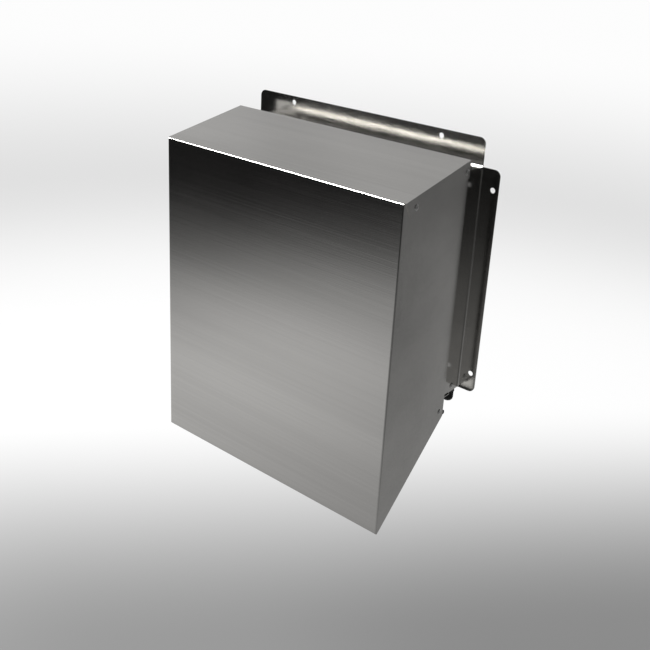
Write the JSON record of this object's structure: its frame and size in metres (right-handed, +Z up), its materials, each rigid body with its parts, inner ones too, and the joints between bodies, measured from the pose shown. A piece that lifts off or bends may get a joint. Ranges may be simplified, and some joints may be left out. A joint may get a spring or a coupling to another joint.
{
  "type": "switchboard cabinet",
  "caption": "Wall-mounted stainless switchboard cabinet: a flanged rear tray holding breakers and terminals under a lift-off cover with sloped roof and slanting underside.",
  "frame": {"origin": "on the wall plane, at the middle of the wall tray's back", "axes": "+X to the right of a person facing the cabinet, +Y into the wall, +Z up"},
  "size_m": [0.447, 0.1853, 0.5073],
  "materials": {
    "stainless_sheet": "directionally brushed stainless sheet",
    "rivet_steel": "stainless blind rivets",
    "fixing_steel": "bright zinc-plated screws, studs and nuts",
    "galvanised_plate": "galvanised plate",
    "galvanised_rail": "passivated zinc-plated rail",
    "nickel_brass": "bright brass",
    "copper": "tinned-edge copper strip",
    "black_rubber": "soft black rubber",
    "black_nylon": "moulded black nylon",
    "light_grey_case": "moulded light grey case",
    "mid_grey_plastic": "moulded grey plastic",
    "blue_plastic": "moulded blue plastic",
    "green_plastic": "moulded green plastic",
    "red_toggle": "polished red toggle",
    "blue_toggle": "polished blue toggle",
    "black_toggle": "polished black toggle",
    "yellow_button": "polished yellow button"
  },
  "bodies": {
    "root": {"wall_tray": "stainless_sheet", "gland_plate": "stainless_sheet", "back_plate": "stainless_sheet", "tray_rivets_right": "rivet_steel", "tray_rivets_left": "rivet_steel", "cable_entry_grommet": "black_rubber", "cover_clips": "stainless_sheet", "cover_studs": "fixing_steel", "earth_stud": "fixing_steel", "earth_nut_inner": "fixing_steel", "earth_nut_outer": "fixing_steel", "gland_washer": "black_rubber", "gland_body": "black_nylon", "gland_locknut": "black_nylon", "gland_seal": "black_rubber", "mounting_plate": "galvanised_plate", "plate_standoffs": "fixing_steel", "plate_screws": "fixing_steel", "din_rail_upper": "galvanised_rail", "din_rail_lower": "galvanised_rail", "rail_screws": "fixing_steel", "main_switch_case": "light_grey_case", "residual_current_case": "light_grey_case", "device_screws": "fixing_steel", "busbar_comb": "copper", "busbar_cover": "mid_grey_plastic", "phase_terminals": "mid_grey_plastic", "neutral_terminals": "blue_plastic", "earth_terminals": "green_plastic", "terminal_screws": "fixing_steel", "terminal_end_stops": "mid_grey_plastic", "neutral_bar": "nickel_brass", "earth_bar": "nickel_brass", "bar_screws": "fixing_steel", "bar_supports": "black_nylon", "breaker_1_case": "light_grey_case", "breaker_2_case": "light_grey_case", "breaker_3_case": "light_grey_case", "breaker_4_case": "light_grey_case", "breaker_5_case": "light_grey_case", "breaker_6_case": "light_grey_case"},
    "cover": {"hood_cover": "stainless_sheet", "hood_rivets_right": "rivet_steel", "hood_rivets_left": "rivet_steel", "drip_trim": "black_rubber"},
    "left_nut": {"cover_nut_left": "nickel_brass"},
    "right_nut": {"cover_nut_right": "nickel_brass"},
    "gland_nut": {"gland_cap_nut": "black_nylon"},
    "main_switch": {"main_switch_toggle": "red_toggle"},
    "residual_current_switch": {"residual_current_toggle": "blue_toggle"},
    "test_key": {"test_button": "yellow_button"},
    "breaker_1": {"breaker_1_toggle": "black_toggle"},
    "breaker_2": {"breaker_2_toggle": "black_toggle"},
    "breaker_3": {"breaker_3_toggle": "black_toggle"},
    "breaker_4": {"breaker_4_toggle": "black_toggle"},
    "breaker_5": {"breaker_5_toggle": "black_toggle"},
    "breaker_6": {"breaker_6_toggle": "black_toggle"}
  },
  "joints": [
    {"name": "cover_lift_off", "type": "slide", "parent": "root", "child": "cover", "axis": [0, -1, 0], "range_m": [0, 0.25]},
    {"name": "left_nut_turn", "type": "hinge", "parent": "root", "child": "left_nut", "pos_m": [-0.12, -0.03, -0.168], "axis": [0, 0, 1], "range_deg": [0, 720]},
    {"name": "right_nut_turn", "type": "hinge", "parent": "root", "child": "right_nut", "pos_m": [0.12, -0.03, -0.168], "axis": [0, 0, 1], "range_deg": [0, 720]},
    {"name": "gland_nut_turn", "type": "hinge", "parent": "root", "child": "gland_nut", "pos_m": [0.1878, -0.0102, -0.175], "axis": [0, 0, 1], "range_deg": [0, 720]},
    {"name": "main_switch_rock", "type": "hinge", "parent": "root", "child": "main_switch", "pos_m": [-0.089, -0.0696, 0.068], "axis": [1, 0, 0], "range_deg": [0, 84]},
    {"name": "residual_current_rock", "type": "hinge", "parent": "root", "child": "residual_current_switch", "pos_m": [-0.04628, -0.0696, 0.068], "axis": [1, 0, 0], "range_deg": [0, 84]},
    {"name": "test_key_press", "type": "slide", "parent": "root", "child": "test_key", "axis": [0, 1, 0], "range_m": [0, 0.0025], "stiffness_N_per_m": 400},
    {"name": "breaker_1_rock", "type": "hinge", "parent": "root", "child": "breaker_1", "pos_m": [0.0178, -0.0696, 0.068], "axis": [1, 0, 0], "range_deg": [0, 84]},
    {"name": "breaker_2_rock", "type": "hinge", "parent": "root", "child": "breaker_2", "pos_m": [0.0356, -0.0696, 0.068], "axis": [1, 0, 0], "range_deg": [0, 84]},
    {"name": "breaker_3_rock", "type": "hinge", "parent": "root", "child": "breaker_3", "pos_m": [0.0534, -0.0696, 0.068], "axis": [1, 0, 0], "range_deg": [0, 84]},
    {"name": "breaker_4_rock", "type": "hinge", "parent": "root", "child": "breaker_4", "pos_m": [0.0712, -0.0696, 0.068], "axis": [1, 0, 0], "range_deg": [0, 84]},
    {"name": "breaker_5_rock", "type": "hinge", "parent": "root", "child": "breaker_5", "pos_m": [0.089, -0.0696, 0.068], "axis": [1, 0, 0], "range_deg": [0, 84]},
    {"name": "breaker_6_rock", "type": "hinge", "parent": "root", "child": "breaker_6", "pos_m": [0.1068, -0.0696, 0.068], "axis": [1, 0, 0], "range_deg": [0, 84]}
  ]
}
